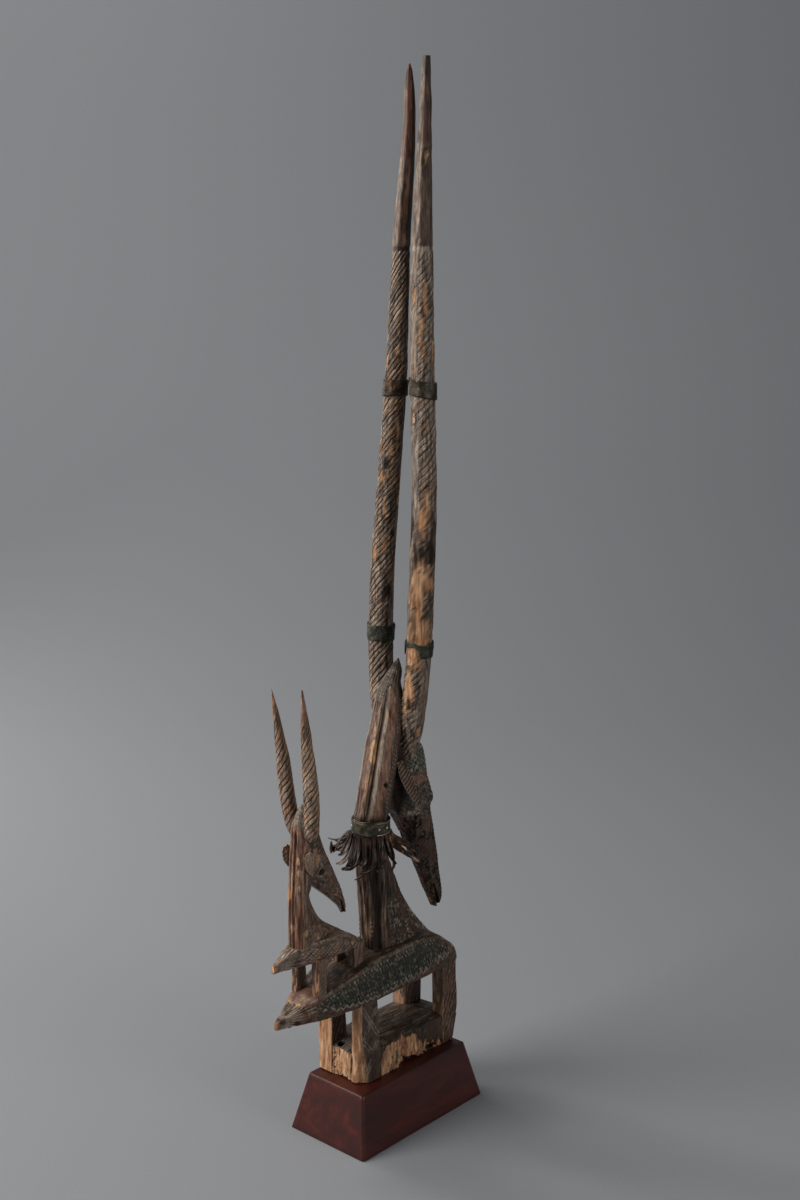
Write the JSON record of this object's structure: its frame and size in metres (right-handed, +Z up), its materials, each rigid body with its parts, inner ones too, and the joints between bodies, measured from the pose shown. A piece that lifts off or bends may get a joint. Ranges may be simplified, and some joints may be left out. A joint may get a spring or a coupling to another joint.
{
  "type": "chiwara headdress",
  "caption": "Carved wooden antelope headdress with a fawn on its back, tall spiral horns with metal bands, a collar and leather fringe, on a hardwood plinth.",
  "frame": {"origin": "middle of the plinth's underside", "axes": "+X the way both animals face, +Z up"},
  "size_m": [0.248, 0.1, 1.0328],
  "materials": {
    "carved_wood": "old carved wood, dark patina, worn and eroded to tan in places",
    "plinth_wood": "red-brown hardwood, satin polish, grain along its length",
    "dark_sheet_metal": "thin hammered sheet, green-black with age",
    "fringe_leather": "thin dried leather strips, stiff, edges amber in the light",
    "nail_metal": "dull hand-made nail heads"
  },
  "bodies": {
    "root": {"plinth": "plinth_wood", "carving": "carved_wood", "neck_collar": "dark_sheet_metal", "horn_band_left_upper": "dark_sheet_metal", "horn_band_right_upper": "dark_sheet_metal", "horn_band_left_lower": "dark_sheet_metal", "horn_band_right_lower": "dark_sheet_metal", "leather_fringe": "fringe_leather", "collar_nail_1": "nail_metal", "collar_nail_2": "nail_metal", "collar_nail_3": "nail_metal", "collar_nail_4": "nail_metal"}
  },
  "joints": []
}
